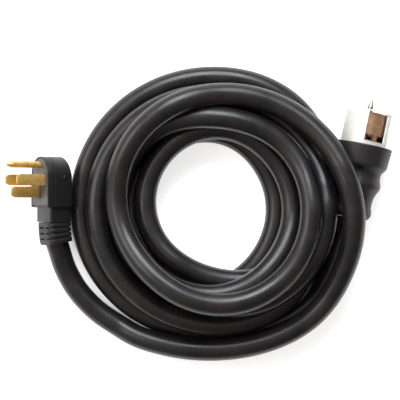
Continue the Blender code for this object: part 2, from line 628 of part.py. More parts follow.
# ---------------------------------------------------------------- cord
def make_cord(plug, lock):
    look = finish("cord_jacket", BLACK_PVC, 0.38)
    middle, heading = relief_path(1.0)
    exit_point = plug.matrix_world @ (middle + heading * GAP)
    ahead = plug.matrix_world @ (middle + heading * (GAP + 0.006))
    route = smooth_route([exit_point, ahead, *TAIL_POINTS], CORD_DIAMETER * 0.5)
    tube("cord_tail", route, CORD_DIAMETER, look, resolution=3)

    outer, inner, height = COIL_OUTER_RADIUS, COIL_INNER_RADIUS, COIL_HEIGHT
    profile = [(inner, 0.0), (outer, 0.0)]
    for i in range(5):
        turn = math.pi / 2 * i / 4
        profile.append((outer - COIL_SHOULDER * (1 - math.cos(turn)),
                        height - COIL_SHOULDER * (1 - math.sin(turn))))
    for i in range(5):
        turn = math.pi / 2 * (1 - i / 4)
        profile.append((inner + COIL_LIP * (1 - math.cos(turn)), height - COIL_LIP * (1 - math.sin(turn))))
    coil = turned("cord_coil", profile, look, sides=72)
    coil.location = (*COIL_CENTRE, 0.0)

    clear = 2 * GAP
    pocket = handle_profile(clear) + [(GLAND_RADIUS + clear, -GLAND_START), (GLAND_RADIUS + clear, -GLAND_END - GAP)]
    nose = [(SHELL_RADIUS + 0.001, SHELL_LENGTH + 0.002), (SHELL_RADIUS + 0.001, 0.002)]
    pocket = nose + [(LOCK_RADIUS + clear, 0.002)] + pocket[1:]
    cut(coil, turned("handle_pocket", pocket, None, lock, loop=False))
    hollow = [arched_outline(-clear, z) for z in (0.0, -PLUG_DEPTH - clear)]
    beside = [relief_section(t, RELIEF_WIDTH / 2 + clear, RELIEF_DEPTH / 2 + clear, 0.007) for t in (-0.02, 0.5, 1.02)]
    cut(coil, skin("plug_pocket", hollow, None, plug), skin("neck_pocket", neck_outlines(clear), None, plug),
        skin("relief_pocket", beside, None, plug))
    last = route[-1] + (route[-1] - route[-2]).normalized() * GAP
    cut(coil, swept("tail_socket", route + [last], CORD_DIAMETER + 2 * clear))


def main():
    clear_scene()
    plug = make_plug()
    lock = make_lock()
    bpy.context.view_layer.update()
    make_cord(plug, lock)


main()
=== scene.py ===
"""The looks of a 50 A shore power cord, as it lies coiled on a white table and is seen from above.

Everything is in metres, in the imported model's own frame: +Z up, the coil flat on the floor.
"""

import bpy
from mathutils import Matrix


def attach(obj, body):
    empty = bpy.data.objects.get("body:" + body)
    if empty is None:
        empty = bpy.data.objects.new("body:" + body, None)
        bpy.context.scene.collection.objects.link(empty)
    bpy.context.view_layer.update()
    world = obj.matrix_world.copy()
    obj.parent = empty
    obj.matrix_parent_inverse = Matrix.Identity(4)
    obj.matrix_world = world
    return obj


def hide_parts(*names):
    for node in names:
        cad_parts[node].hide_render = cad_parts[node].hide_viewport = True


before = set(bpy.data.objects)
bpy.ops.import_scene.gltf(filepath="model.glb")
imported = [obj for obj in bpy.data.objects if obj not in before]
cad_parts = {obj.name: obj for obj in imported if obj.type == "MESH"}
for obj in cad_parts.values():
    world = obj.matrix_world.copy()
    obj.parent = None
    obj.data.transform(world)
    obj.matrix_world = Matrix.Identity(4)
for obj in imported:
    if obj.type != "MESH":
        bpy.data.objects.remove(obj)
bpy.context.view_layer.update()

import math

import bmesh
import bpy
import numpy as np
from mathutils import Matrix, Vector

# ------------------------------------------------------------------ camera, table and light
# The photograph looks straight down from about 1.5 m at a cord on white paper, with soft window
# light from the upper left. 1.07 mm of table is one pixel of its 400.
CAMERA_HEIGHT = 1.5
TABLE_PER_PIXEL = 0.00107
PHOTO_PIXELS = 400
CAMERA_OVER = (0.00105, 0.013)
SENSOR = 36.0


def spot(right, down, height):
    """The place at this height that the photograph shows at this pixel."""
    scale = TABLE_PER_PIXEL * (1 - height / CAMERA_HEIGHT)
    across = CAMERA_OVER[0] + (right - PHOTO_PIXELS / 2) * scale
    along = CAMERA_OVER[1] + (PHOTO_PIXELS / 2 - down) * scale
    return (across, along, height)


camera = bpy.data.objects.new("camera", bpy.data.cameras.new("camera"))
bpy.context.scene.collection.objects.link(camera)
camera.location = (*CAMERA_OVER, CAMERA_HEIGHT)
camera.data.sensor_width = SENSOR
camera.data.lens = SENSOR * CAMERA_HEIGHT / (TABLE_PER_PIXEL * PHOTO_PIXELS)
bpy.context.scene.camera = camera
bpy.context.scene.view_settings.view_transform = "Standard"


def srgb(code):
    """A hex colour as linear red, green, blue and alpha."""
    parts = [int(code[i:i + 2], 16) / 255 for i in (1, 3, 5)]
    return (*(p / 12.92 if p <= 0.04045 else ((p + 0.055) / 1.055) ** 2.4 for p in parts), 1.0)


def add(tree, kind, settings=(), **inputs):
    """Adds a node with its settings; an input is a value or a socket, named i0, i1 by its place."""
    made = tree.nodes.new(kind)
    for key, value in dict(settings).items():
        setattr(made, key, value)
    for key, value in inputs.items():
        by_place = key[0] == "i" and key[1:].isdigit()
        socket = made.inputs[int(key[1:]) if by_place else key.replace("_", " ")]
        if isinstance(value, bpy.types.NodeSocket):
            tree.links.new(value, socket)
        else:
            socket.default_value = value
    return made


WORLD_FILL = 0.66
WORLD_DARK_SIDE = 0.22            # how much of the fill the room's lower right side gives
LEAN_RANGE = (-1.1, 1.0)          # over which headings the room goes from its dark to its bright side
WARM_WALLS = "#fff8f3"

world = bpy.data.worlds.new("studio")
bpy.context.scene.world = world
world.use_nodes = True
sky = world.node_tree
sky.nodes.clear()
ray = add(sky, "ShaderNodeLightPath")
heading = add(sky, "ShaderNodeTexCoord")
split = add(sky, "ShaderNodeSeparateXYZ", Vector=heading.outputs["Generated"])
lean = add(sky, "ShaderNodeMath", {"operation": "SUBTRACT"}, i0=split.outputs["Y"], i1=split.outputs["X"])
side = add(sky, "ShaderNodeMapRange", {"interpolation_type": "SMOOTHSTEP"}, Value=lean.outputs[0],
           From_Min=LEAN_RANGE[0], From_Max=LEAN_RANGE[1], To_Min=WORLD_DARK_SIDE, To_Max=1.0)
room = add(sky, "ShaderNodeMath", {"operation": "MULTIPLY"}, i0=side.outputs[0], i1=WORLD_FILL)
seen = add(sky, "ShaderNodeMix", {"data_type": "FLOAT"}, Factor=ray.outputs["Is Camera Ray"],
           i2=room.outputs[0], i3=1.0)
tone = add(sky, "ShaderNodeMix", {"data_type": "RGBA"}, Factor=ray.outputs["Is Camera Ray"],
           i6=srgb(WARM_WALLS), i7=(1, 1, 1, 1))
backdrop = add(sky, "ShaderNodeBackground", Color=tone.outputs[2], Strength=seen.outputs[0])
add(sky, "ShaderNodeOutputWorld", Surface=backdrop.outputs[0])

# Two windows: the bright one beyond the top of the picture, and a weaker one to its left. Each
# has its place, its power in watts and its tint.
WINDOW_SIDE = 1.2
WINDOWS = {
    "window_beyond": ((-0.05, 1.60, 1.60), 42.0, (0.88, 0.94, 1.0)),
    "window_left": ((-1.60, 0.45, 1.70), 13.0, (1.0, 0.98, 0.96)),
}
for name, (place, power, tint) in WINDOWS.items():
    lamp = bpy.data.lights.new(name, "AREA")
    lamp.shape = "SQUARE"
    lamp.size = WINDOW_SIDE
    lamp.energy = power
    lamp.color = tint
    window = bpy.data.objects.new(name, lamp)
    window.location = place
    window.rotation_euler = Vector(place).to_track_quat("Z", "Y").to_euler()
    bpy.context.scene.collection.objects.link(window)

TABLE_SIDE = 6.0
TABLE_GLOW = 0.70                 # lifts the paper to white for the camera, shadow and all
PAINTED_SHADE_REACH = 0.12                # how near the turns have to be for painted shade to cut the paper's glow between them
PAINTED_SHADE_OPEN = (0.03, 0.14)         # how open to the sky the paper is where that glow starts and is full; below this the paper is darkened by painted shade

paper = bpy.data.materials.new("white_paper")
paper.use_nodes = True
tree = paper.node_tree
tree.nodes.clear()
ray = add(tree, "ShaderNodeLightPath")
matt = add(tree, "ShaderNodeBsdfDiffuse", Color=srgb("#f4f4f4"))
shown = add(tree, "ShaderNodeMath", {"operation": "MAXIMUM"}, i0=ray.outputs["Is Camera Ray"],
            i1=ray.outputs["Is Glossy Ray"])
# Ambient occlusion cuts the glow where the turns close in, which paints shade into the clefts between them.
open_air = add(tree, "ShaderNodeAmbientOcclusion", {"samples": 12}, Distance=PAINTED_SHADE_REACH)
glow_under_painted_shade = add(tree, "ShaderNodeMapRange", Value=open_air.outputs["AO"], From_Min=PAINTED_SHADE_OPEN[0],
               From_Max=PAINTED_SHADE_OPEN[1], To_Min=0.0, To_Max=TABLE_GLOW)
lift = add(tree, "ShaderNodeMath", {"operation": "MULTIPLY"}, i0=shown.outputs[0], i1=glow_under_painted_shade.outputs[0])
glow = add(tree, "ShaderNodeEmission", Color=(1, 1, 1, 1), Strength=lift.outputs[0])
both = add(tree, "ShaderNodeAddShader", i0=matt.outputs[0], i1=glow.outputs[0])
add(tree, "ShaderNodeOutputMaterial", Surface=both.outputs[0])

shape = bmesh.new()
bmesh.ops.create_grid(shape, x_segments=1, y_segments=1, size=TABLE_SIDE / 2)
mesh = bpy.data.meshes.new("table")
shape.to_mesh(mesh)
shape.free()
mesh.materials.append(paper)
table = bpy.data.objects.new("table", mesh)
bpy.context.scene.collection.objects.link(table)

# ------------------------------------------------------------------ cord
# Four stranded conductors in one extruded black PVC jacket, 23.5 mm thick and a little glossy.
# It leaves the plug, lies half a turn on the table and then winds seven loose turns by hand,
# until it goes into the locking end under its own top turn.
CORD_DIAMETER = 0.0235
CORD_STEP = 0.006                 # between points of its centreline
CORD_SIDES = 36
CORD_GRIP = 0.0002                # how far apart turns that touch are kept
HANDLE_RIM = (0.17170, 0.07070, 0.0313)
HANDLE_BEARING = math.radians(11.5)
HANDLE_LENGTH = 0.0767

# From the strain relief to the coil. All but the first and the last three are the model's own.
CORD_TAIL = (
    (-0.1507, -0.0294, 0.0220),
    (-0.1468, -0.0420, 0.0196),
    (-0.1441, -0.0526, 0.0168),
    (-0.1384, -0.0665, 0.0138),
    (-0.1300, -0.0809, 0.0124),
    (-0.1189, -0.0942, 0.0122),
    (-0.1051, -0.1069, 0.0127),
    (-0.0880, -0.1184, 0.0147),
    (-0.0683, -0.1296, 0.0225),
    (-0.0435, -0.1374, 0.0295),
    (-0.0147, -0.1426, 0.0350),
)
# The turns, from the one that the tail rises into to the one that ends in the handle: how far the
# middle of the cord is from the coil's middle in the photograph's pixels, and its height in
# millimetres before it settles, at every eighth of a turn from the right and over the top.
COIL_MIDDLE = (217.5, 208.0)
FIRST_EIGHTH = 7
TURNS = (
    ((145,), (48,)),
    ((136.2, 123.2, 113.2, 109.2, 100, 93.5, 96.5, 96.6), (66, 60, 56, 68, 58, 76, 74, 70)),
    ((94.2, 91.8, 90.6, 101.2, 98, 92, 87.5, 79), (56, 50, 55, 48, 36, 55, 50, 48)),
    ((75, 75.6, 80, 77, 72.3, 68.2, 71.2, 84), (33, 33, 34.5, 30, 33, 33, 33, 26)),
    ((82, 89, 102, 106, 109, 102, 82, 65), (12, 12, 12, 12, 12, 12, 12, 12)),
    ((59.2, 63.4, 75.5, 83, 86, 83, 98, 107), (12, 12, 12, 12, 12, 26, 31, 48)),
    ((110.3, 108, 112, 118, 120.5, 118.6, 116.5, 115), (60, 39, 33, 34, 33, 33, 34, 24)),
    ((107.5, 125.5, 130.5, 135.2, 136.8, 130.8, 124, 133), (13, 12, 12, 12, 12, 12, 12, 12)),
)
SPOKE = 15.0                      # degrees between the points that the turns are drawn through


def cubic(knots, values, wanted):
    """A natural cubic spline through values at knots, read at the wanted places."""
    gaps = np.diff(knots)
    count = len(knots)
    system = np.eye(count)
    bend = np.zeros_like(values)
    for i in range(1, count - 1):
        system[i, i - 1:i + 2] = gaps[i - 1], 2 * (gaps[i - 1] + gaps[i]), gaps[i]
        bend[i] = 6 * ((values[i + 1] - values[i]) / gaps[i] - (values[i] - values[i - 1]) / gaps[i - 1])
    bend = np.linalg.solve(system, bend)
    low = np.clip(np.searchsorted(knots, wanted) - 1, 0, count - 2)
    gap = gaps[low][:, None]
    after = (wanted - knots[low])[:, None]
    before = gap - after
    return (bend[low] * before ** 3 / (6 * gap) + bend[low + 1] * after ** 3 / (6 * gap)
            + (values[low] / gap - bend[low] * gap / 6) * before
            + (values[low + 1] / gap - bend[low + 1] * gap / 6) * after)


def evenly(points, spacing):
    """The points of one smooth curve through the given ones, this far apart."""
    line = np.array(points, float)
    for _ in range(2):
        along = np.concatenate([[0], np.cumsum(np.linalg.norm(np.diff(line, axis=0), axis=1))])
        count = int(round(along[-1] / spacing)) + 1
        line = cubic(along, line, np.linspace(0, along[-1], count))
    return line


def wound_route():
    """The route as the photograph shows it, before its turns settle on each other."""
    eighths = []
    for number, (reaches, heights) in enumerate(TURNS):
        first = (number - 1) * 8 + (FIRST_EIGHTH if number == 0 else 0)
        for i, (reach, height) in enumerate(zip(reaches, heights)):
            eighths.append((first + i, reach, height / 1000))
    eighths = np.array(eighths, float)
    angles = eighths[:, 0] * 45
    points = list(CORD_TAIL)
    wanted = np.arange(angles[0], angles[-1] + 1, SPOKE)
    for angle, (reach, height) in zip(np.radians(wanted), cubic(angles, eighths[:, 1:], wanted)):
        right = COIL_MIDDLE[0] + reach * math.cos(angle)
        down = COIL_MIDDLE[1] - reach * math.sin(angle)
        points.append(spot(right, down, max(height, CORD_DIAMETER / 2)))
    nose = Vector((math.sin(HANDLE_BEARING), math.cos(HANDLE_BEARING), 0))
    mouth = Vector(HANDLE_RIM) - nose * (HANDLE_LENGTH + 0.0003)
    # The last 26 mm run nearly straight into the handle.
    for back, rise, out in ((0.026, 0.0008, -0.0015), (0.013, 0.0004, 0), (0, 0, 0)):
        points.append(mouth - nose * back + Vector((out, 0, rise)))
    return evenly(points, CORD_STEP)


# How thick the handle is, from its rim back: the top turn has to lie over it.
HANDLE_BACK = (0.0, 0.0213, 0.0278, 0.0410, 0.0516, 0.0588, 0.0700, 0.0760)
HANDLE_RADIUS = (0.0311, 0.0295, 0.0246, 0.0266, 0.0226, 0.0214, 0.0228, 0.0210)
SETTLING_STEPS = 900
SETTLING_DROP = 0.00025           # how far a turn sinks in one step
LATE_STEPS = 0.7                  # the share of the steps after which it sinks more slowly
LATE_DROP = 0.25
NEAR_TURNS_EVERY = 15             # steps from one search for turns that lie close to the next
PUSH = 0.6                        # the share of an overlap that one step takes away
HANDLE_PUSH = 0.4
SIDEWAYS_SHARE = 0.15             # of a push between turns that moves them sideways
HOLD = 0.04                       # how hard a turn is held to where the photograph shows it
STIFFNESS = (0.4, 0.25)           # how far the cord evens out its shifts, sideways and in height
STIFF_REACH = 6                   # over how many points to each side
STIFF_SPREAD = 2.5
IN_THE_HANDLE = 10                # the last points, which the handle may touch
SAME_TURN = 2.2                   # diameters along the cord within which it can't touch itself
FREE_AFTER = 8.0                  # points from an end to where the cord is quite free
SEATED_OVER = 3.0                 # points that the strain relief holds


def settled(line):
    """Lets the turns sink onto the table, each other and the handle, held near their traced places."""
    traced = line.copy()
    count = len(line)
    order = np.arange(count)
    apart = CORD_DIAMETER + CORD_GRIP
    neighbours = int(SAME_TURN * CORD_DIAMETER / CORD_STEP)
    nose = np.array((math.sin(HANDLE_BEARING), math.cos(HANDLE_BEARING), 0))
    lumps = [(np.array(HANDLE_RIM) - nose * back, np.interp(back, HANDLE_BACK, HANDLE_RADIUS))
             for back in np.arange(0.004, HANDLE_LENGTH, 0.006)]
    blur = np.exp(-0.5 * (np.arange(-STIFF_REACH, STIFF_REACH + 1) / STIFF_SPREAD) ** 2)
    blur /= blur.sum()
    flat, high = STIFFNESS
    free = np.clip(np.minimum(order - 1, count - 1 - order) / FREE_AFTER, 0, 1)[:, None]
    loose = np.clip(order / SEATED_OVER, 0, 1)[:, None]
    for step in range(SETTLING_STEPS):
        if step % NEAR_TURNS_EVERY == 0:
            reach = np.linalg.norm(line[:, None] - line[None], axis=2)
            one, two = np.nonzero((reach < apart + CORD_STEP) & (order[:, None] - order > neighbours))
        between = line[one] - line[two]
        distance = np.linalg.norm(between, axis=1) + 1e-9
        press = np.maximum(apart - distance, 0)
        push = between * (press / distance)[:, None] * 0.5
        move = np.stack([np.bincount(one, push[:, k], count) - np.bincount(two, push[:, k], count)
                         for k in range(3)], 1)
        touches = np.bincount(one, press > 0, count) + np.bincount(two, press > 0, count)
        move *= PUSH / np.sqrt(np.maximum(touches, 1))[:, None]
        for middle, radius in lumps:
            between = line[:-IN_THE_HANDLE] - middle
            distance = np.linalg.norm(between, axis=1)[:, None] + 1e-9
            overlap = np.maximum(radius + apart / 2 - distance, 0)
            move[:-IN_THE_HANDLE] += between / distance * overlap * HANDLE_PUSH
        move[:, :2] *= SIDEWAYS_SHARE
        move[:, 2] -= SETTLING_DROP * (1 if step < SETTLING_STEPS * LATE_STEPS else LATE_DROP)
        shift = line + move * free - traced
        padded = np.concatenate([np.repeat(shift[:1], STIFF_REACH, 0), shift,
                                 np.repeat(shift[-1:], STIFF_REACH, 0)])
        even = np.stack([np.convolve(padded[:, k], blur, "valid") for k in range(3)], 1)
        shift[:, :2] = ((1 - flat) * shift[:, :2] + flat * even[:, :2]) * (1 - HOLD)
        shift[:, 2] = (1 - high) * shift[:, 2] + high * even[:, 2]
        line = traced + shift * loose
        line[:, 2] = np.maximum(line[:, 2], CORD_DIAMETER / 2 + 0.0001)
    return line


def jacketed(name, line, diameter, sides):
    """A closed tube round a centreline, with a map of its girth and of its length in metres."""
    line = [Vector(point) for point in line]
    heads = [(line[min(i + 1, len(line) - 1)] - line[max(i - 1, 0)]).normalized() for i in range(len(line))]
    across = heads[0].orthogonal().normalized()
    rings = []
    for point, head in zip(line, heads):
        across = (across - head * across.dot(head)).normalized()
        above = head.cross(across)
        turns = [2 * math.pi * k / sides for k in range(sides)]
        rings.append([point + (across * math.cos(t) + above * math.sin(t)) * diameter / 2 for t in turns])
    shape = bmesh.new()
    rows = [[shape.verts.new(p) for p in ring] for ring in rings]
    wrap = shape.loops.layers.uv.new("jacket")
    for i, (low, high) in enumerate(zip(rows, rows[1:])):
        for k in range(sides):
            face = shape.faces.new((low[k], low[(k + 1) % sides], high[(k + 1) % sides], high[k]))
            places = ((k, i), (k + 1, i), (k + 1, i + 1), (k, i + 1))
            for loop, (girth, length) in zip(face.loops, places):
                loop[wrap].uv = (girth / sides * math.pi * diameter, length * CORD_STEP)
    shape.faces.new(reversed(rows[0]))
    shape.faces.new(rows[-1])
    bmesh.ops.recalc_face_normals(shape, faces=shape.faces)
    mesh = bpy.data.meshes.new(name)
    shape.to_mesh(mesh)
    shape.free()
    mesh.shade_smooth()
    mesh.set_sharp_from_angle(angle=math.radians(60))
    tube = bpy.data.objects.new(name, mesh)
    bpy.context.scene.collection.objects.link(tube)
    return tube


JACKET_IOR = 1.53


def extruded_pvc():
    """Flexible PVC, extruded hot through a die: satin black, with faint die lines along it and a
    bloom of handling marks that take its gloss up and down."""
    material = bpy.data.materials.new("extruded_pvc_jacket")
    material.use_nodes = True
    tree = material.node_tree
    shader = tree.nodes["Principled BSDF"]
    girth = add(tree, "ShaderNodeUVMap", {"uv_map": "jacket"})
    along = add(tree, "ShaderNodeMapping", Vector=girth.outputs[0], Scale=(1.0, 0.03, 1.0))
    lines = add(tree, "ShaderNodeTexNoise", Vector=along.outputs[0], Scale=700.0, Detail=3.0)
    spotted = add(tree, "ShaderNodeTexCoord")
    marks = add(tree, "ShaderNodeTexNoise", Vector=spotted.outputs["Object"], Scale=38.0, Detail=4.0,
                Roughness=0.62)
    bloom = add(tree, "ShaderNodeMapRange", Value=marks.outputs[0], From_Min=0.35, From_Max=0.70)
    tint = add(tree, "ShaderNodeMix", {"data_type": "RGBA"}, Factor=bloom.outputs[0],
               i6=srgb("#18181a"), i7=srgb("#292423"))
    gloss = add(tree, "ShaderNodeMapRange", Value=marks.outputs[0], From_Min=0.3, From_Max=0.7,
                To_Min=0.25, To_Max=0.38)
    grain = add(tree, "ShaderNodeTexNoise", Vector=spotted.outputs["Object"], Scale=1600.0, Detail=2.0)
    relief = add(tree, "ShaderNodeMath", {"operation": "ADD"}, i0=lines.outputs[0], i1=grain.outputs[0])
    bump = add(tree, "ShaderNodeBump", Strength=0.20, Distance=0.00008, Height=relief.outputs[0])
    tree.links.new(tint.outputs[2], shader.inputs["Base Color"])
    tree.links.new(gloss.outputs[0], shader.inputs["Roughness"])
    tree.links.new(bump.outputs[0], shader.inputs["Normal"])
    shader.inputs["IOR"].default_value = JACKET_IOR
    return material


cord_line = settled(wound_route())
cord = jacketed("cord", cord_line, CORD_DIAMETER, CORD_SIDES)
cord.data.materials.append(extruded_pvc())
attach(cord, "root")
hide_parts("cord_coil", "cord_tail")

# ------------------------------------------------------------------ plug body and neck
# A right-angle plug's body and its neck are one moulding of black PVC. The mould's two halves
# met 8 mm behind the face, where a fine groove runs round the body; the neck takes the wires.
PLUG_TILT = math.radians(31.5)
PLUG_MIDDLE = (-0.16700, 0.03195, 0.032320)
BODY_WIDTH = 0.042
BODY_HEIGHT = 0.0535
BODY_DEPTH = 0.029
BODY_EDGE = 0.0025
BODY_RIM = 0.0014
BODY_WALL = 0.0035
FOOT_CORNER = 0.0016
BACK_LEAN = 0.17                  # how much shallower the body is at the top of its arch
SEAM_BEHIND_FACE = 0.0082
SEAM_WIDTH = 0.0009
SEAM_DEPTH = 0.0005
INSERT_SEAT = 0.0053
PIP_PLACE = (BODY_WIDTH / 2, 0.0044, -0.0194)
PIP_RADIUS = 0.0024
NECK_HALF = (0.01725, 0.01225)
NECK_BEHIND_FACE = 0.01675
NECK_LENGTH = 0.01525
NECK_EDGE = 0.0025
WIRE_WAY = 0.0083
WIRE_WAY_BEHIND_FACE = 0.0175


def turned_to(origin, x_axis, z_axis):
    """The matrix of a frame with this origin and these two axes."""
    x_axis, z_axis = Vector(x_axis), Vector(z_axis)
    return Matrix.Translation(origin) @ Matrix((x_axis, z_axis.cross(x_axis), z_axis)).transposed().to_4x4()


PLUG = turned_to(PLUG_MIDDLE, (math.sin(PLUG_TILT), 0, math.cos(PLUG_TILT)),
                 (-math.cos(PLUG_TILT), 0, math.sin(PLUG_TILT)))


def skin(outlines, place=Matrix(), loop=False):
    """A closed mesh through outlines of equal length; a loop of them needs no end faces."""
    shape = bmesh.new()
    rings = [[shape.verts.new(p) for p in outline] for outline in outlines]
    pairs = list(zip(rings, rings[1:]))
    if loop:
        pairs.append((rings[-1], rings[0]))
    else:
        shape.faces.new(rings[0])
        shape.faces.new(rings[-1])
    for low, high in pairs:
        for i in range(len(low)):
            j = (i + 1) % len(low)
            shape.faces.new((low[i], low[j], high[j], high[i]))
    bmesh.ops.recalc_face_normals(shape, faces=shape.faces)
    mesh = bpy.data.meshes.new("skin")
    shape.to_mesh(mesh)
    shape.free()
    mesh.transform(place)
    return mesh


def joined(*meshes):
    """One mesh of several."""
    shape = bmesh.new()
    for mesh in meshes:
        shape.from_mesh(mesh)
    both = bpy.data.meshes.new("joined")
    shape.to_mesh(both)
    shape.free()
    return both


def evaluated(thing):
    """The plain mesh that an object's modifiers make, in place of the object."""
    bpy.context.scene.collection.objects.link(thing)
    bpy.context.view_layer.update()
    made = bpy.data.meshes.new_from_object(thing.evaluated_get(bpy.context.evaluated_depsgraph_get()))
    bpy.data.objects.remove(thing)
    return made


def carved(mesh, *others, operation="DIFFERENCE"):
    """A mesh less the others, or with them."""
    thing = bpy.data.objects.new("carving", mesh)
    tools = [bpy.data.objects.new("tool", other) for other in others]
    for tool in tools:
        bpy.context.scene.collection.objects.link(tool)
        change = thing.modifiers.new("change", "BOOLEAN")
        change.operation = operation
        change.object = tool
    made = evaluated(thing)
    for tool in tools:
        bpy.data.objects.remove(tool)
    return made


def piece(name, mesh, material, slot, *stands_for, sharp=32):
    """Shows a mesh as one piece of the object, in place of the model's own nodes."""
    mesh.name = name
    mesh.materials.clear()
    mesh.materials.append(material)
    mesh.shade_smooth()
    mesh.set_sharp_from_angle(angle=math.radians(sharp))
    made = bpy.data.objects.new(name, mesh)
    bpy.context.scene.collection.objects.link(made)
    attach(made, "root")
    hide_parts(*stands_for)
    return made


def circle(radius, z, sides=48, x=0.0, y=0.0):
    """The outline of a circle at this height."""
    turns = (2 * math.pi * i / sides for i in range(sides))
    return [Vector((x + radius * math.cos(t), y + radius * math.sin(t), z)) for t in turns]


def rounded(half_a, half_b, corner, steps=6):
    """(a, b) pairs round a rectangle with round corners."""
    pairs = []
    for quarter, (a, b) in enumerate(((1, 1), (-1, 1), (-1, -1), (1, -1))):
        for i in range(steps + 1):
            turn = (quarter + i / steps) * math.pi / 2
            pairs.append((a * (half_a - corner) + corner * math.cos(turn),
                          b * (half_b - corner) + corner * math.sin(turn)))
    return pairs


def arch(inset, z, steps=44):
    """The plug's outline: square below, with small corners, and half round on top."""
    half = BODY_WIDTH / 2 - inset
    foot = inset - BODY_HEIGHT / 2
    corner = max(FOOT_CORNER - inset, 0.0002)
    crown = (BODY_HEIGHT - BODY_WIDTH) / 2
    points = []
    for side, start in ((-1, math.pi), (1, 1.5 * math.pi)):
        for i in range(6):
            turn = start + math.pi / 2 * i / 5
            points.append(Vector((side * (half - corner) + corner * math.cos(turn),
                                  foot + corner + corner * math.sin(turn), z)))
    for i in range(steps + 1):
        turn = math.pi * i / steps
        points.append(Vector((half * math.cos(turn), crown + half * math.sin(turn), z)))
    return points


PLASTIC_IOR = 1.5


def moulded(name, dark, light, gloss, grain=0.00005, patches=45.0):
    """A moulded plastic: a fine cast grain that spreads its highlights, and slow patches of tone
    and gloss where it was handled."""
    material = bpy.data.materials.new(name)
    material.use_nodes = True
    tree = material.node_tree
    shader = tree.nodes["Principled BSDF"]
    where = add(tree, "ShaderNodeTexCoord")
    slow = add(tree, "ShaderNodeTexNoise", Vector=where.outputs["Object"], Scale=patches, Detail=4.0)
    tone = add(tree, "ShaderNodeMapRange", Value=slow.outputs[0], From_Min=0.32, From_Max=0.68)
    colour = add(tree, "ShaderNodeMix", {"data_type": "RGBA"}, Factor=tone.outputs[0], i6=srgb(dark),
                 i7=srgb(light))
    worn = add(tree, "ShaderNodeMapRange", Value=slow.outputs[0], From_Min=0.3, From_Max=0.7,
               To_Min=gloss + 0.06, To_Max=gloss - 0.05)
    fine = add(tree, "ShaderNodeTexNoise", Vector=where.outputs["Object"], Scale=1900.0, Detail=2.0)
    bump = add(tree, "ShaderNodeBump", Strength=0.35, Distance=grain, Height=fine.outputs[0])
    tree.links.new(colour.outputs[2], shader.inputs["Base Color"])
    tree.links.new(worn.outputs[0], shader.inputs["Roughness"])
    tree.links.new(bump.outputs[0], shader.inputs["Normal"])
    shader.inputs["IOR"].default_value = PLASTIC_IOR
    return material


# Black PVC moulded in a blasted steel mould: nearly black, with broad soft highlights.
moulded_pvc = moulded("moulded_pvc", "#121213", "#1b1a1b", 0.40)

outlines = [arch(BODY_EDGE * (1 - math.sin(t)), -BODY_DEPTH + BODY_EDGE * (1 - math.cos(t)))
            for t in (math.pi / 2 * i / 8 for i in range(9))]
# The groove where the mould's halves met.
for behind, depth in ((0.5, 0.0), (0.12, 1.0), (-0.12, 1.0), (-0.5, 0.0)):
    outlines.append(arch(SEAM_DEPTH * depth, -SEAM_BEHIND_FACE - SEAM_WIDTH * behind))
outlines += [arch(0.0, -0.0009), arch(0.0002, -0.0003), arch(0.0007, 0.0), arch(BODY_RIM, 0.0),
             arch(BODY_RIM, -INSERT_SEAT), arch(BODY_WALL, -INSERT_SEAT),
             arch(BODY_WALL, -BODY_DEPTH + BODY_WALL)]
# Behind that groove the body gets shallower towards the top of its arch.
for point in (point for outline in outlines for point in outline):
    rise = min(max(point.y / (BODY_HEIGHT / 2), 0), 1)
    if point.z < -SEAM_BEHIND_FACE - SEAM_WIDTH:
        point.z += (-SEAM_BEHIND_FACE - point.z) * BACK_LEAN * rise
body = skin(outlines)
neck = skin([[Vector((a, y, b - NECK_BEHIND_FACE)) for a, b in rounded(*NECK_HALF, NECK_EDGE, 8)]
             for y in (-BODY_HEIGHT / 2 + 0.0018, -BODY_HEIGHT / 2 - NECK_LENGTH)])
bore = skin([[Vector((p.x, y, p.y - WIRE_WAY_BEHIND_FACE)) for p in circle(WIRE_WAY, 0)]
             for y in (-BODY_HEIGHT / 2 + 0.006, -BODY_HEIGHT / 2 - NECK_LENGTH - 0.002)])
body = carved(carved(body, neck, operation="UNION"), bore)
# The moulded pip where the body was filled.
levels = ((-0.001, PIP_RADIUS), (0.0004, PIP_RADIUS), (0.0009, 0.0014))
pip = skin([circle(radius, z, 20) for z, radius in levels], turned_to(PIP_PLACE, (0, 1, 0), (1, 0, 0)))
body = joined(body, pip)
body.transform(PLUG)
piece("plug_moulding", body, moulded_pvc, "black_pvc", "plug_body", sharp=38)

# ------------------------------------------------------------------ plug face
# The insert that holds the prongs is a stiffer grey plastic, set in the body's rim, with a low
# collar round every blade.
FACE_THICKNESS = 0.0050
CLEAR = 0.0003
BLADE_HALF = (0.0012, 0.00585)
BLADES = {
    "hot_blade_upper": (0.0143, 0.0021),
    "hot_blade_lower": (-0.0143, 0.0021),
    "neutral_blade": (0.0, -0.0106),
}
GROUND = (0.0, 0.0180)
GROUND_RADIUS = 0.0035
SLOT_CORNER = 0.0004
COLLAR_HEIGHT = 0.0014
COLLAR_WIDTH = 0.0011


def framed(place, half_a, half_b, corner, z):
    """The outline of a round-cornered rectangle about a place on the face."""
    return [Vector((place[0] + a, place[1] + b, z)) for a, b in rounded(half_a, half_b, corner)]


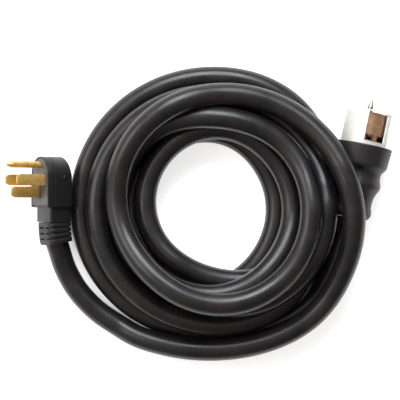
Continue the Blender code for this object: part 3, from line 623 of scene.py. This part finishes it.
outlines = [arch(BODY_RIM + CLEAR, -FACE_THICKNESS), arch(BODY_RIM + CLEAR, -0.0009),
            arch(BODY_RIM + CLEAR + 0.0002, -0.0005), arch(BODY_RIM + CLEAR + 0.0006, -0.0003)]
through = (-0.006, 0.001)
slot_half = (BLADE_HALF[0] + CLEAR, BLADE_HALF[1] + CLEAR, SLOT_CORNER)
holes = [skin([framed(place, *slot_half, z) for z in through]) for place in BLADES.values()]
holes.append(skin([circle(GROUND_RADIUS + CLEAR, z, 40, *GROUND) for z in through]))
face = carved(skin(outlines), *holes)
collars = []
for place in BLADES.values():
    collar = []
    for out, z in ((0.0, -0.0012), (1.0, -0.0012), (1.0, 0.6), (0.8, 1.0), (0.2, 1.0), (0.0, 0.7)):
        height = z if z < 0 else -0.0003 + z * COLLAR_HEIGHT
        collar.append(framed(place, *(size + out * COLLAR_WIDTH for size in slot_half), height))
    collars.append(skin(collar, loop=True))
face = joined(face, *collars)
face.transform(PLUG)
# Glass-filled grey thermoplastic, which is mottled and hardly shines.
grey_plastic = moulded("grey_insert_plastic", "#565652", "#666661", 0.50, 0.00007, 90.0)
piece("plug_insert", face, grey_plastic, "grey_insert", "plug_face")

# ------------------------------------------------------------------ plug prongs
# Three flat blades and a round earth pin of solid brass, cut from strip and rod. Their tips are
# chamfered by a press, and they are fixed in the carrier behind the insert.
BLADE_LENGTH = 0.0325
BLADE_CHAMFER = 0.0040
PRONG_ROOT = 0.0125
GROUND_LENGTH = 0.0375


def worked_metal(name, clean, dull, gloss, scratch=0.00002, along=(1.0, 1.0, 0.05), bare=1.0):
    """A worked metal: fine draw lines one way, and duller patches where it tarnished."""
    material = bpy.data.materials.new(name)
    material.use_nodes = True
    tree = material.node_tree
    shader = tree.nodes["Principled BSDF"]
    where = add(tree, "ShaderNodeTexCoord")
    stains = add(tree, "ShaderNodeTexNoise", Vector=where.outputs["Object"], Scale=160.0, Detail=5.0,
                 Roughness=0.6)
    amount = add(tree, "ShaderNodeMapRange", Value=stains.outputs[0], From_Min=0.40, From_Max=0.72)
    colour = add(tree, "ShaderNodeMix", {"data_type": "RGBA"}, Factor=amount.outputs[0], i6=srgb(clean),
                 i7=srgb(dull))
    polish = add(tree, "ShaderNodeMapRange", Value=stains.outputs[0], From_Min=0.35, From_Max=0.75,
                 To_Min=gloss, To_Max=gloss + 0.16)
    drawn = add(tree, "ShaderNodeMapping", Vector=where.outputs["Object"], Scale=along)
    lines = add(tree, "ShaderNodeTexNoise", Vector=drawn.outputs[0], Scale=2400.0, Detail=2.0)
    bump = add(tree, "ShaderNodeBump", Strength=0.25, Distance=scratch, Height=lines.outputs[0])
    tree.links.new(colour.outputs[2], shader.inputs["Base Color"])
    tree.links.new(polish.outputs[0], shader.inputs["Roughness"])
    tree.links.new(bump.outputs[0], shader.inputs["Normal"])
    shader.inputs["Metallic"].default_value = bare
    return material


# Brass strip, tumbled after pressing: warm yellow, and browner where it was handled.
brass = worked_metal("solid_brass", "#efc876", "#d3a052", 0.36, 0.000006, bare=0.65)
thick, wide = BLADE_HALF
tip = wide - BLADE_CHAMFER * 0.55
levels = ((-PRONG_ROOT, wide, thick), (BLADE_LENGTH - BLADE_CHAMFER, wide, thick),
          (BLADE_LENGTH - 0.0009, tip + 0.0004, thick), (BLADE_LENGTH - 0.0003, tip, thick * 0.86),
          (BLADE_LENGTH, tip - 0.0004, thick * 0.62))
for name, place in BLADES.items():
    blade = skin([[Vector((place[0] + a, place[1] + b, z)) for a, b in rounded(t, w, min(t, 0.0005), 3)]
                  for z, w, t in levels], PLUG)
    piece(name.replace("_blade", "_prong"), blade, brass, "brass", name, sharp=24)
levels = ((-PRONG_ROOT, 1.0), (GROUND_LENGTH - 0.0062, 1.0), (GROUND_LENGTH - 0.0050, 0.93),
          (GROUND_LENGTH - 0.0016, 0.56), (GROUND_LENGTH - 0.0004, 0.40), (GROUND_LENGTH, 0.22))
pin = skin([circle(GROUND_RADIUS * share, z, 40, *GROUND) for z, share in levels], PLUG)
piece("earth_prong", pin, brass, "brass", "ground_pin", sharp=24)

# ------------------------------------------------------------------ strain relief
# A sleeve of soft PVC moulded onto the cord and the neck. Four ribs and the bars between them
# let it bend a little each way: three grooves, broken into slots on the side of the face.
RELIEF_HALF = (0.0165, 0.01325)
RELIEF_CORNER = 0.0062
RELIEF_LENGTH = 0.0217
RELIEF_BEHIND_FACE = 0.0175
RELIEF_TURN = math.radians(10.5)
RELIEF_STEPS = 12
CORD_SEAT_STEPS = 2               # the sleeve's last steps, whose bore fits the cord
RELIEF_RIBS = 4
RIB_PITCH = 0.00535
RIB_WIDTH = 0.0041
GROOVE_DEPTH = 0.0020
BARS_ACROSS = (-0.0104, 0.0045)
BAR_WIDTH = 0.0042

sideways = Vector((math.sin(PLUG_TILT), 0, -math.cos(PLUG_TILT)))
downwards = Vector((-math.cos(PLUG_TILT), 0, -math.sin(PLUG_TILT)))
lean = (sideways + 0.45 * downwards).normalized()


def relief_point(t):
    """The strain relief's middle at a share of its length, in the plug's frame."""
    start = Vector((0, -BODY_HEIGHT / 2 - NECK_LENGTH - CLEAR, -RELIEF_BEHIND_FACE))
    return start + Vector((0, -1, 0)) * RELIEF_LENGTH * t + lean * RELIEF_LENGTH * RELIEF_TURN * t * t / 2


def repeat_along_path():
    """Geometry nodes that put copies of a piece along a curve, all facing the same way across it."""
    tree = bpy.data.node_groups.new("repeat_along_path", "GeometryNodeTree")
    face = tree.interface
    face.new_socket("Geometry", in_out="OUTPUT", socket_type="NodeSocketGeometry")
    sockets = {"Geometry": "Geometry", "Piece": "Object", "Count": "Int", "First": "Float",
               "Pitch": "Float", "Across": "Vector", "Look": "Material"}
    for label, kind in sockets.items():
        face.new_socket(label, in_out="INPUT", socket_type=f"NodeSocket{kind}")
    given = add(tree, "NodeGroupInput").outputs
    gaps = add(tree, "ShaderNodeMath", {"operation": "SUBTRACT"}, i0=given["Count"], i1=1.0)
    run = add(tree, "ShaderNodeMath", {"operation": "MULTIPLY_ADD"}, i0=gaps.outputs[0], i1=given["Pitch"],
              i2=given["First"])
    used = add(tree, "GeometryNodeTrimCurve", {"mode": "LENGTH"}, Curve=given["Geometry"])
    tree.links.new(given["First"], used.inputs[4])
    tree.links.new(run.outputs[0], used.inputs[5])
    spots = add(tree, "GeometryNodeCurveToPoints", {"mode": "COUNT"}, Curve=used.outputs[0],
                Count=given["Count"])
    along = add(tree, "FunctionNodeAlignRotationToVector", {"axis": "Z"}, Vector=spots.outputs["Tangent"])
    facing = add(tree, "FunctionNodeAlignRotationToVector", {"axis": "X", "pivot_axis": "Z"},
                 Rotation=along.outputs[0], Vector=given["Across"])
    shape = add(tree, "GeometryNodeObjectInfo", Object=given["Piece"])
    copies = add(tree, "GeometryNodeInstanceOnPoints", Points=spots.outputs[0],
                 Instance=shape.outputs["Geometry"], Rotation=facing.outputs[0])
    real = add(tree, "GeometryNodeRealizeInstances", Geometry=copies.outputs[0])
    dressed = add(tree, "GeometryNodeSetMaterial", Geometry=real.outputs[0], Material=given["Look"])
    end = add(tree, "NodeGroupOutput")
    tree.links.new(dressed.outputs[0], end.inputs[0])
    return tree


def repeated(path, shape, **sizes):
    """The plain mesh of copies of a shape along a path of points."""
    curve = bpy.data.curves.new("path", "CURVE")
    curve.dimensions = "3D"
    spline = curve.splines.new("POLY")
    spline.points.add(len(path) - 1)
    for knot, point in zip(spline.points, path):
        knot.co = (*point, 1.0)
    line = bpy.data.objects.new("path", curve)
    copied = bpy.data.objects.new("copied", shape)
    bpy.context.scene.collection.objects.link(copied)
    change = line.modifiers.new("copies", "NODES")
    tree = bpy.data.node_groups.get("repeat_along_path") or repeat_along_path()
    change.node_group = tree
    labels = {socket.name: socket.identifier for socket in tree.interface.items_tree
              if socket.in_out == "INPUT"}
    for label, value in dict(sizes, Piece=copied).items():
        change[labels[label]] = value
    made = evaluated(line)
    bpy.data.objects.remove(copied)
    return made


# Plasticised PVC, softer and duller than the body's.
soft_pvc = moulded("soft_pvc", "#171617", "#222020", 0.48, 0.00006, 60.0)
middles = [relief_point(i / RELIEF_STEPS) for i in range(RELIEF_STEPS + 1)]
core = [half - GROOVE_DEPTH for half in RELIEF_HALF]
seat_starts = RELIEF_STEPS - CORD_SEAT_STEPS
sleeve = []
for outside, steps in ((True, range(RELIEF_STEPS + 1)), (False, range(RELIEF_STEPS, -1, -1))):
    for i in steps:
        heading = (middles[min(i + 1, RELIEF_STEPS)] - middles[max(i - 1, 0)]).normalized()
        depth = heading.cross(Vector((1, 0, 0))).normalized()
        across = depth.cross(heading)
        # The sleeve is full at both ends, and the cord is seated in the last 4 mm of its bore.
        cut_in = GROOVE_DEPTH if 1 < i < seat_starts else 0.0003
        radius = CORD_DIAMETER / 2 + 0.00015 if i >= seat_starts else WIRE_WAY
        if outside:
            section = rounded(RELIEF_HALF[0] - cut_in, RELIEF_HALF[1] - cut_in, RELIEF_CORNER - cut_in)
        else:
            section = rounded(radius, radius, radius - 0.00001)
        sleeve.append([middles[i] + across * a + depth * b for a, b in section])
rib = []
for share, z in ((-0.5, -0.5), (0.86, -0.5), (1.0, -0.34), (1.0, 0.34), (0.86, 0.5), (-0.5, 0.5)):
    grow = GROOVE_DEPTH * share
    rib.append([Vector((a, b, z * RIB_WIDTH))
                for a, b in rounded(core[0] + grow, core[1] + grow, RELIEF_CORNER - GROOVE_DEPTH + grow)])
# A bar fills a groove nearly to the ribs' tops.
bars = []
for across in BARS_ACROSS:
    bars.append(skin([[Vector((across + a, core[1] + GROOVE_DEPTH * 0.36 + b, z)) for a, b in
                       rounded(BAR_WIDTH / 2, GROOVE_DEPTH * 0.56, 0.0004, 2)]
                      for z in (-RIB_PITCH / 2, RIB_PITCH / 2)]))
first = (RELIEF_LENGTH - RIB_PITCH * (RELIEF_RIBS - 1)) / 2
ribs = repeated(middles, skin(rib, loop=True), Count=RELIEF_RIBS, First=first, Pitch=RIB_PITCH,
                Across=(1.0, 0.0, 0.0), Look=soft_pvc)
bridges = repeated(middles, joined(*bars), Count=RELIEF_RIBS - 1, First=first + RIB_PITCH / 2,
                   Pitch=RIB_PITCH, Across=(1.0, 0.0, 0.0), Look=soft_pvc)
relief = joined(skin(sleeve, loop=True), ribs, bridges)
relief.transform(PLUG)
piece("strain_relief", relief, soft_pvc, "soft_pvc", "plug_strain_relief", sharp=40)

# ------------------------------------------------------------------ locking end's handle
# A round handle moulded of black PVC: a deep rim for the face, a step, a swelling for the palm
# and a waist. Two screws in pockets hold the core that carries the contacts.
LOCK_MIDDLE = (0.171700, 0.070705, 0.0313)
LOCK = turned_to(LOCK_MIDDLE, (0, 0, 1), (math.sin(HANDLE_BEARING), math.cos(HANDLE_BEARING), 0))
HANDLE_SIDES = 112
LOCK_RADIUS = 0.0311
LOCK_RIM = 0.0019
GRIP_POINTS = (
    (0.0248, -0.0274), (0.0246, -0.0300), (0.0252, -0.0350), (0.0266, -0.0405), (0.0262, -0.0435),
    (0.0242, -0.0475), (0.0226, -0.0515), (0.0216, -0.0560), (0.0213, -0.0600), (0.0214, -0.0636),
)
LOCK_FACE_SEAT = 0.0083
LOCK_CORE_RADIUS = 0.0218
LOCK_CORE_END = 0.0289
BEHIND_CORE_RADIUS = 0.0205
HANDLE_END = 0.0636
WIRE_ROOM = WIRE_WAY + 0.002
SCREW_PLACE = 0.0257
POCKET_HALF = (0.0033, 0.0024)
POCKET_ASIDE = -0.0006
POCKET_FLOOR = 0.0224
SCREW_WAY_HALF = 0.0018           # the hole under a pocket, down into the core
SCREW_WAY_FLOOR = 0.018


def turned(profile, sides=HANDLE_SIDES, loop=True):
    """A mesh turned about the Z axis of its frame from (radius, z) points."""
    return skin([circle(r, z, sides) for r, z in profile], loop=loop)


grip = [(p[0], p[1]) for p in evenly([(r, z, 0.0) for r, z in GRIP_POINTS], 0.0011)]
# The rim: its rounded lip, its slightly tapered side and the step behind it.
rim = [(LOCK_RADIUS - LOCK_RIM, 0.0), (LOCK_RADIUS - 0.0011, 0.0), (LOCK_RADIUS - 0.0004, -0.0003),
       (LOCK_RADIUS, -0.0010), (LOCK_RADIUS - 0.00005, -0.0017), (0.02965, -0.0194), (0.0295, -0.0205),
       (0.0291, -0.0214), (0.0285, -0.0222), (0.0256, -0.0261)]
inside = [(WIRE_ROOM, -HANDLE_END), (WIRE_ROOM, -0.0560), (BEHIND_CORE_RADIUS, -LOCK_CORE_END - 0.0100),
          (BEHIND_CORE_RADIUS, -LOCK_CORE_END), (LOCK_CORE_RADIUS, -LOCK_CORE_END),
          (LOCK_CORE_RADIUS, -LOCK_FACE_SEAT), (LOCK_RADIUS - LOCK_RIM, -LOCK_FACE_SEAT)]
handle = turned(rim + grip + inside)
pockets = []
for side in (-1, 1):
    for floor, top, aside, half in (
            (POCKET_FLOOR, LOCK_RADIUS, POCKET_ASIDE, POCKET_HALF),
            (SCREW_WAY_FLOOR, POCKET_FLOOR + 0.001, 0, (SCREW_WAY_HALF, SCREW_WAY_HALF))):
        pockets.append(skin([[Vector((side * x, aside + a, b - SCREW_PLACE))
                              for a, b in rounded(*half, half[1] - 0.0001)] for x in (floor, top)]))
handle = carved(handle, *pockets)
handle.transform(LOCK)
# The same PVC as the plug's from a finer mould, a little browner where hands rub it.
handle_pvc = moulded("handle_pvc", "#221f20", "#2b2727", 0.46)
piece("lock_handle", handle, handle_pvc, "black_pvc", "lock_housing", sharp=34)

# ------------------------------------------------------------------ locking end's face
# The black face lies in the rim. The shell stands in a groove of it, and the three blades and
# the guide pin come through it.
SHELL_RADIUS = 0.0239
SHELL_WALL = 0.0014
SHELL_FOOT = 0.0030
BLADE_RADIUS = 0.0195
LOCK_BLADE_HALF = 0.0010
BLADE_ARC = math.radians(62.0)
BLADE_ANGLES = {"x": math.radians(26.0), "y": math.radians(146.0), "w": math.radians(266.0)}
PIN_RADIUS = 0.0034
PIN_ROOT = 0.0050


def arc_plate(radius, half, middle, width, z, steps=14):
    """The outline of a plate curved about the Z axis, from its middle and its whole angle."""
    angles = [middle - width / 2 + width * i / steps for i in range(steps + 1)]
    ends = [(radius + half, a) for a in angles] + [(radius - half, a) for a in reversed(angles)]
    return [Vector((r * math.cos(a), r * math.sin(a), z)) for r, a in ends]


front = LOCK_RADIUS - LOCK_RIM - CLEAR
disc = skin([circle(front, -0.0080), circle(front, -0.0012), circle(front - 0.0005, -0.0006)])
shell_inside = SHELL_RADIUS - SHELL_WALL - CLEAR
groove = turned([(shell_inside, 0.001), (SHELL_RADIUS + CLEAR, 0.001),
                 (SHELL_RADIUS + CLEAR, -SHELL_FOOT - CLEAR), (shell_inside, -SHELL_FOOT - CLEAR)])
slots = [skin([arc_plate(BLADE_RADIUS, LOCK_BLADE_HALF + CLEAR, angle, BLADE_ARC + 0.03, z)
               for z in (-0.009, 0.001)]) for angle in BLADE_ANGLES.values()]
socket = skin([circle(PIN_RADIUS + CLEAR, z, 32) for z in (0.001, -PIN_ROOT - CLEAR)])
disc = carved(disc, groove, socket, *slots)
disc.transform(LOCK)
# Black thermoset, pressed in a polished mould.
black_plastic = moulded("black_insert_plastic", "#141414", "#1d1d1d", 0.45)
piece("lock_front", disc, black_plastic, "grey_insert", "lock_face")

# ------------------------------------------------------------------ earthing shell
# The socket's earth contact slides over this drawn and nickel-plated shell. A window in it
# lets the latch reach the contact behind, and its mouth is turned in a little.
SHELL_LENGTH = 0.0365
WINDOW = (math.radians(-6.0), math.radians(52.0))
WINDOW_FROM_FACE = 0.0040
WINDOW_RIM = 0.0012

# Bright nickel on drawn steel, nearly white, with soft mirror light. Its base is near white and mostly
# diffuse, so the white room's reflection in the plating is painted into its colour on top of the nickel's
# own pale tone.
nickel = worked_metal("nickel_plate", "#f3f2ec", "#e9e7df", 0.45, 0.000004, (0.05, 0.05, 1.0), bare=0.25)
mouth = [(SHELL_RADIUS, -SHELL_FOOT), (SHELL_RADIUS, SHELL_LENGTH - 0.0016),
         (SHELL_RADIUS - 0.0002, SHELL_LENGTH - 0.0007), (SHELL_RADIUS - 0.0007, SHELL_LENGTH - 0.0001),
         (SHELL_RADIUS - 0.0011, SHELL_LENGTH), (SHELL_RADIUS - SHELL_WALL, SHELL_LENGTH - 0.0004),
         (SHELL_RADIUS - SHELL_WALL, -SHELL_FOOT)]
shell = turned(mouth, 128)
middle, width = sum(WINDOW) / 2, WINDOW[1] - WINDOW[0]
opening = skin([arc_plate(SHELL_RADIUS - SHELL_WALL / 2, SHELL_WALL, middle, width, z, 32)
                for z in (WINDOW_FROM_FACE, SHELL_LENGTH - WINDOW_RIM)])
shell = carved(shell, opening)
shell.transform(LOCK)
shell = piece("earth_shell", shell, nickel, "nickel_plate", "ground_shell", sharp=40)
# The shell's inner faces get a dull dark grey steel, darker than the plating outside.
shell.data.materials.append(worked_metal("drawn_steel_inside", "#55565a", "#3b3c40", 0.45))
axis = LOCK.to_3x3() @ Vector((0, 0, 1))
for face in shell.data.polygons:
    out = face.center - LOCK.translation
    out -= axis * out.dot(axis)
    if out.length < SHELL_RADIUS - SHELL_WALL * 0.6 and face.normal.dot(out) < 0:
        face.material_index = 1

# ------------------------------------------------------------------ locking blades
# Three curved blades of phosphor bronze. A notch in both edges, near the face, is where the
# socket's contacts lock after a twist.
LOCK_BLADE_LENGTH = 0.0342
LOCK_BLADE_ROOT = 0.0100
NOTCH_FROM_FACE = 0.0050
NOTCH_HEIGHT = 0.0060
NOTCH_ARC = math.radians(25.0)

# Rolled phosphor bronze: pinkish brown, with lines along the blade from rolling.
bronze = worked_metal("phosphor_bronze", "#cda684", "#ab8262", 0.40, 0.000006, (1.0, 1.0, 0.02), bare=0.7)
levels = ((-LOCK_BLADE_ROOT, 1.0, BLADE_ARC), (LOCK_BLADE_LENGTH - 0.0016, 1.0, BLADE_ARC),
          (LOCK_BLADE_LENGTH - 0.0005, 0.8, BLADE_ARC - 0.06), (LOCK_BLADE_LENGTH, 0.45, BLADE_ARC - 0.12))
for key, angle in BLADE_ANGLES.items():
    blade = skin([arc_plate(BLADE_RADIUS, LOCK_BLADE_HALF * half, angle, width, z)
                  for z, half, width in levels])
    notches = [skin([arc_plate(BLADE_RADIUS, 0.002, angle + side * BLADE_ARC / 2, NOTCH_ARC * 2, z, 6)
                     for z in (NOTCH_FROM_FACE, NOTCH_FROM_FACE + NOTCH_HEIGHT)]) for side in (-1, 1)]
    blade = carved(blade, *notches)
    blade.transform(LOCK)
    piece(f"locking_contact_{key}", blade, bronze, "bronze", f"lock_blade_{key}", sharp=30)

# ------------------------------------------------------------------ guide pin
# A steel pin that finds the socket's middle. It is ground to a point and plated, and pressed
# into the face.
PIN_LENGTH = 0.0505
PIN_POINT = 0.0105

profile = [(PIN_RADIUS, -PIN_ROOT)]
for thickness, share in ((1.0, 1.0), (0.97, 0.94), (0.80, 0.80), (0.34, 0.30)):
    profile.append((PIN_RADIUS * thickness, PIN_LENGTH - PIN_POINT * share))
profile += [(0.0005, PIN_LENGTH - 0.0004), (0.0002, PIN_LENGTH)]
pin = turned(profile, 40, loop=False)
pin.transform(LOCK)
# Ground and plated steel, the brightest of the metals.
ground_steel = worked_metal("ground_steel", "#cfcac0", "#8f8a80", 0.22)
piece("guide_pin", pin, ground_steel, "nickel_plate", "centre_pin", sharp=30)

# ------------------------------------------------------------------ housing screws
# Two cross-head screws of blackened steel, sunk in the handle's pockets. Their shanks hold the
# core from both sides.
SCREW_HEAD_RADIUS = 0.0027
SCREW_HEAD_HEIGHT = 0.0018
SCREW_SHANK = 0.0015
SCREW_TIP = 0.0175
CROSS_DEPTH = 0.0011
CROSS_HALF = (0.0016, 0.00032)

# Steel with a black oxide skin, which keeps its glint on the edges.
black_steel = worked_metal("blackened_steel", "#3a3836", "#242322", 0.36)
seat = POCKET_FLOOR + CLEAR
levels = ((SCREW_TIP, SCREW_SHANK), (seat, SCREW_SHANK), (seat, SCREW_HEAD_RADIUS),
          (seat + SCREW_HEAD_HEIGHT * 0.7, SCREW_HEAD_RADIUS),
          (seat + SCREW_HEAD_HEIGHT, SCREW_HEAD_RADIUS * 0.72))
for place, side in (("upper", 1), ("lower", -1)):
    screw = skin([[Vector((x, p.x, p.y)) for p in circle(r, 0, 32)] for x, r in levels])
    cross = [skin([[Vector((x, a, b)) for a, b in rounded(*half, 0.0002, 2)]
                   for x in (seat + SCREW_HEAD_HEIGHT - CROSS_DEPTH, seat + 0.003)])
             for half in (CROSS_HALF, CROSS_HALF[::-1])]
    screw = carved(screw, *cross)
    turn = Matrix.Rotation(math.pi * (side < 0), 4, "Z")
    screw.transform(LOCK @ Matrix.Translation((0, 0, -SCREW_PLACE)) @ turn)
    piece(f"housing_screw_{place}", screw, black_steel, "nickel_plate", f"lock_screw_{place}")

# ------------------------------------------------------------------ gland
# A collar of soft PVC, moulded over the cord behind the handle. It closes the handle's end and
# keeps rain out.
GLAND_FROM_FACE = (0.0639, 0.0767)
GLAND_POINTS = ((0.0214, -0.0639), (0.0221, -0.0662), (0.0228, -0.0700), (0.0222, -0.0733),
                (0.0206, -0.0755), (0.0196, -0.0767))

collar = [(p[0], p[1]) for p in evenly([(r, z, 0.0) for r, z in GLAND_POINTS], 0.0009)]
gland = turned(collar + [(WIRE_WAY, -end) for end in reversed(GLAND_FROM_FACE)])
gland.transform(LOCK)
piece("cord_gland", gland, soft_pvc, "soft_pvc", "lock_gland")

# ------------------------------------------------------------------ pieces out of sight
# Inside both ends: the carrier and the core of natural nylon, tinned copper crimps on the
# conductors, and the conductors in their coloured PVC insulation.
nylon = moulded("natural_nylon", "#a49f92", "#b8b3a4", 0.45)
copper = worked_metal("tinned_copper", "#c9b8a6", "#9a8068", 0.35)
hidden = {nylon: ("blade_carrier", "lock_core"),
          copper: ("hot_crimp_upper", "hot_crimp_lower", "neutral_crimp", "ground_crimp", "blade_crimp_x",
                   "blade_crimp_y", "blade_crimp_w", "shell_crimp")}
INSULATION = {"black": ("#161616", "#1f1f1f"), "red": ("#8d1a16", "#a3231d"),
              "white": ("#cfccc4", "#dedbd4"), "green": ("#1d5c33", "#256b3d")}
for colour, (dark, light) in INSULATION.items():
    insulation = moulded(f"{colour}_insulation", dark, light, 0.4)
    hidden[insulation] = (f"plug_wire_{colour}", f"lock_wire_{colour}")
for material, names in hidden.items():
    for name in names:
        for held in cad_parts[name].material_slots:
            held.material = material
